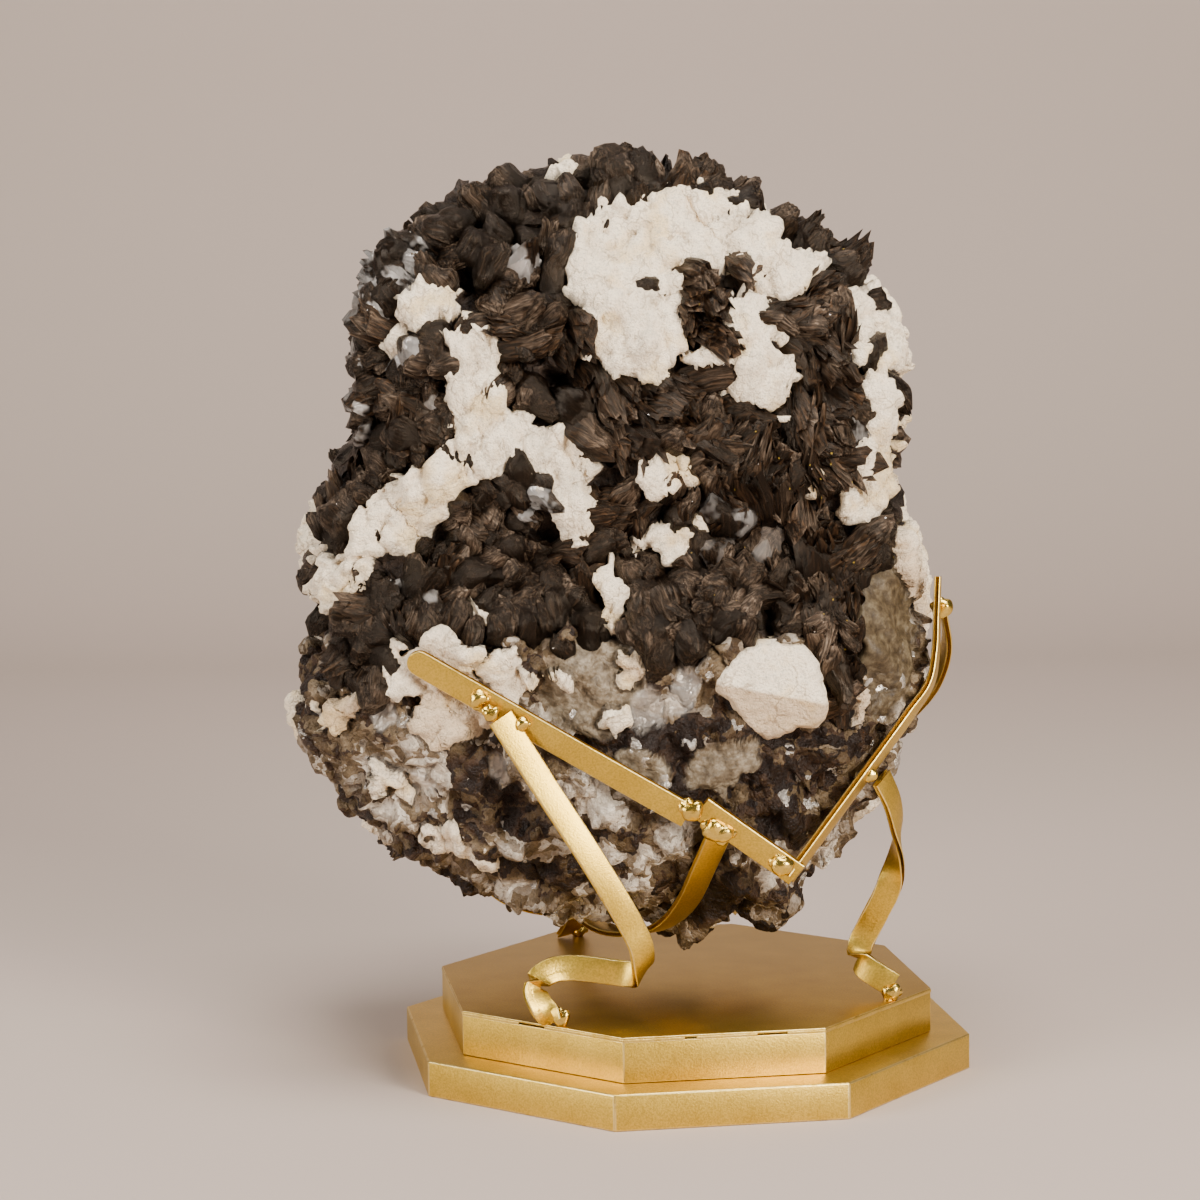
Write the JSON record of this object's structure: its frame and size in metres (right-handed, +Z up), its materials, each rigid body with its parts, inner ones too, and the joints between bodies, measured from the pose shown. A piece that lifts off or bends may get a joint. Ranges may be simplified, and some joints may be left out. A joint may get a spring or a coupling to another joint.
{
  "type": "mineral specimen on stand",
  "caption": "Mica books with white albite on a broken matrix, one natural mass, resting in a gold-painted flat-bar cradle on a stepped octagonal base.",
  "frame": {"origin": "centre of the base's underside", "axes": "+Z up through the specimen, -Y towards the front as pictured, +X to the viewer's right"},
  "size_m": [0.342, 0.291, 0.4695],
  "materials": {
    "gold_paint": "satin metallic gold paint with fine sparkle, shinier on the weld beads",
    "mica_and_albite": "dark brown mica books with a grey-brown sheen, matt off-white albite, broken grey and tan matrix with small glints"
  },
  "bodies": {
    "root": {"base_lower_tier": "gold_paint", "base_upper_tier": "gold_paint", "base_top_plate": "gold_paint", "bar_right": "gold_paint", "bar_front_left": "gold_paint", "bar_front_middle": "gold_paint", "bar_back": "gold_paint", "strap_under": "gold_paint", "leg_front_left": "gold_paint", "leg_right": "gold_paint", "leg_back": "gold_paint", "specimen": "mica_and_albite"}
  },
  "joints": []
}
